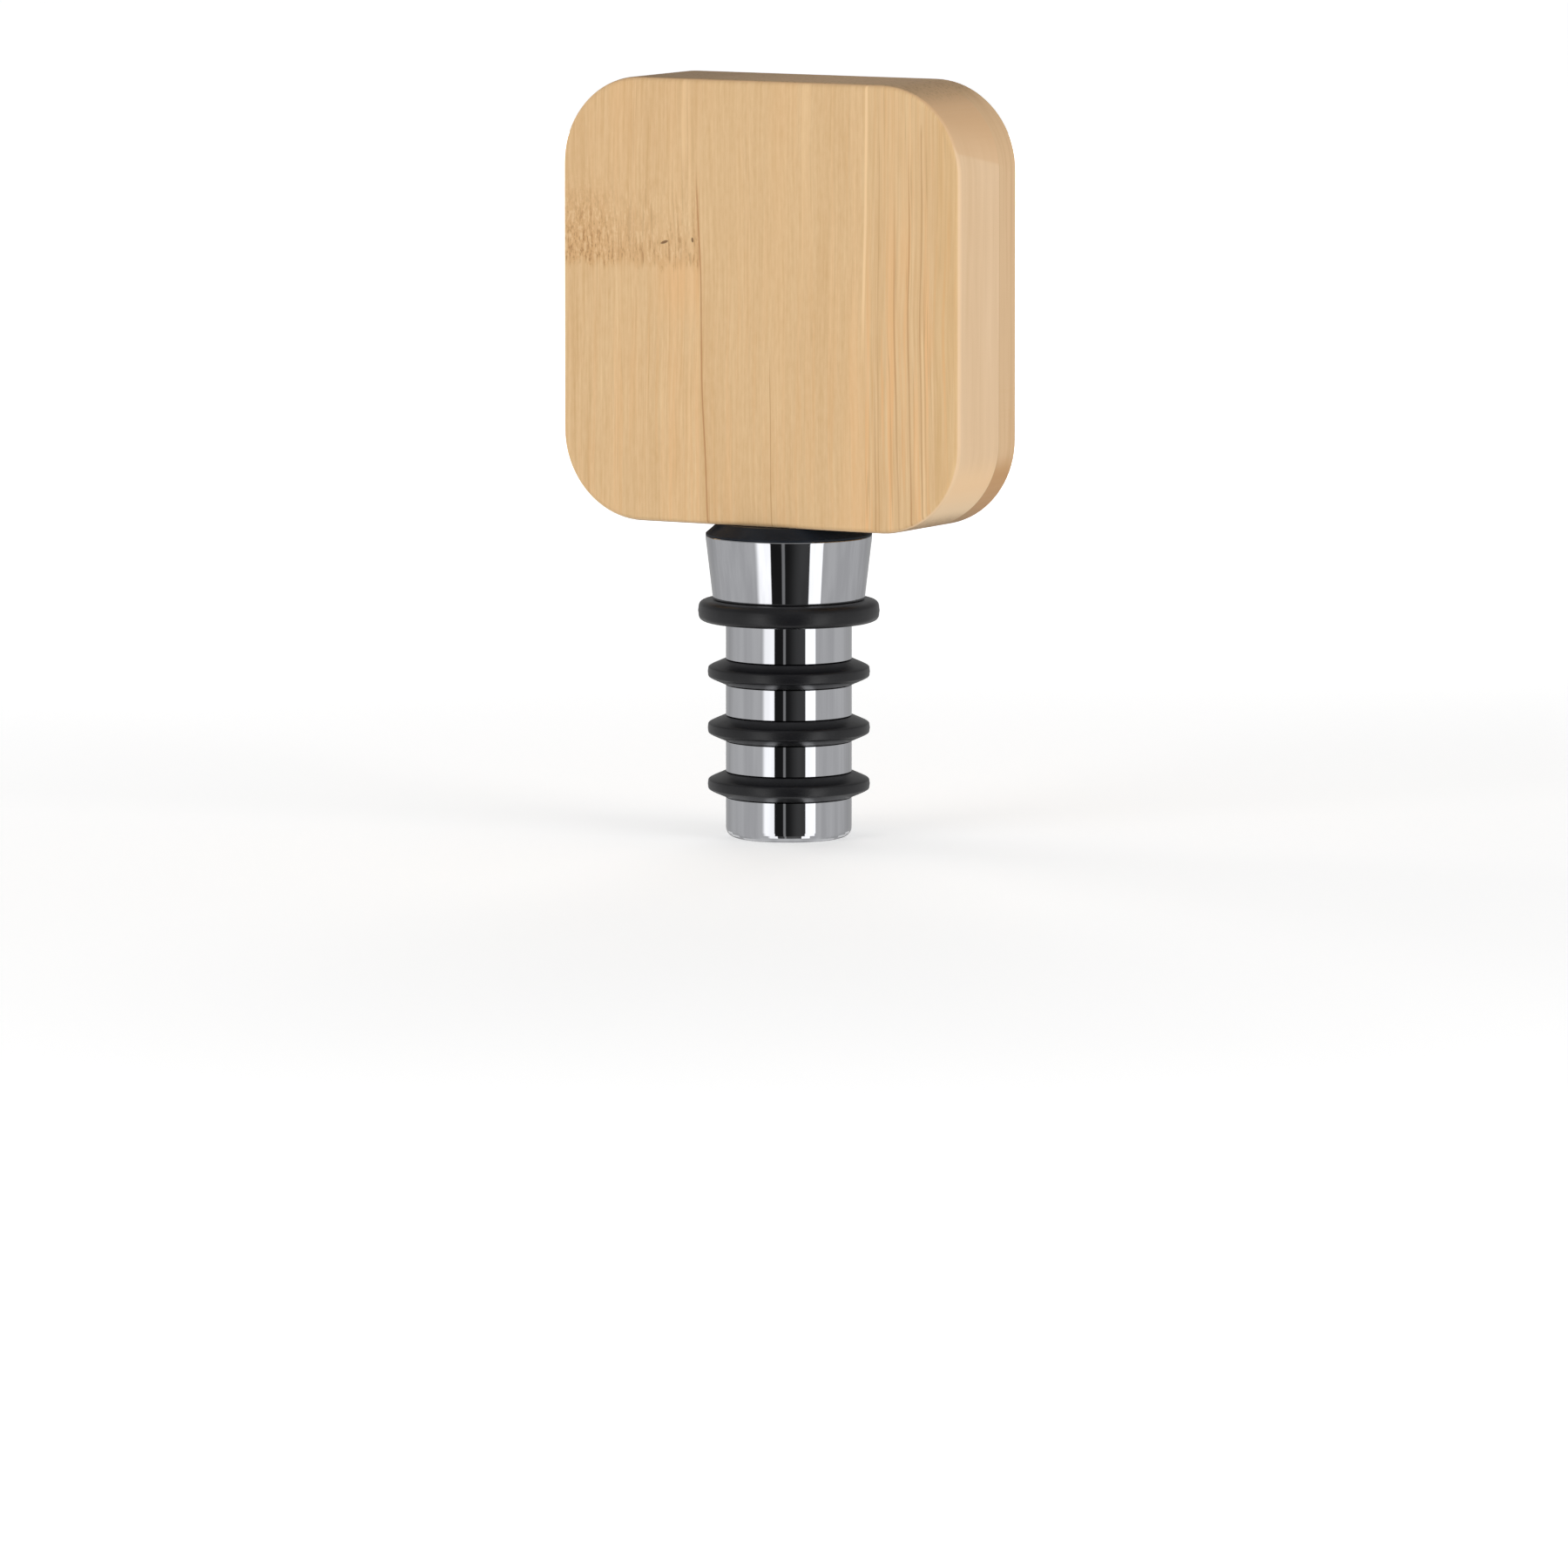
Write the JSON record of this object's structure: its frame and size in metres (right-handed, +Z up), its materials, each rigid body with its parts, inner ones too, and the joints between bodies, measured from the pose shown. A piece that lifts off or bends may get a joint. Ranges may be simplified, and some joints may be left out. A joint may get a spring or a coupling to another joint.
{
  "type": "wooden bottle stopper",
  "caption": "Bottle stopper: a square bamboo knob with rounded corners on a plated tapered collar, with rubber rings that seal the neck.",
  "frame": {"origin": "centre of the plug's flat end, which the stopper stands on", "axes": "+Z up the plug's axis to the knob, -Y out of the knob's front face, +X along the knob's width"},
  "size_m": [0.056, 0.0224, 0.0941],
  "materials": {
    "bamboo": "sanded, clear satin oil",
    "black_plastic": "moulded satin",
    "chrome_plate": "polished plate on a zinc casting",
    "stud_steel": "zinc plated",
    "black_rubber": "moulded satin"
  },
  "bodies": {
    "root": {"bamboo_block": "bamboo", "spacer_washer": "black_plastic", "plug_body": "chrome_plate", "joining_stud": "stud_steel", "seat_ring": "black_rubber", "neck_ring_1": "black_rubber", "neck_ring_2": "black_rubber", "neck_ring_3": "black_rubber"}
  },
  "joints": []
}
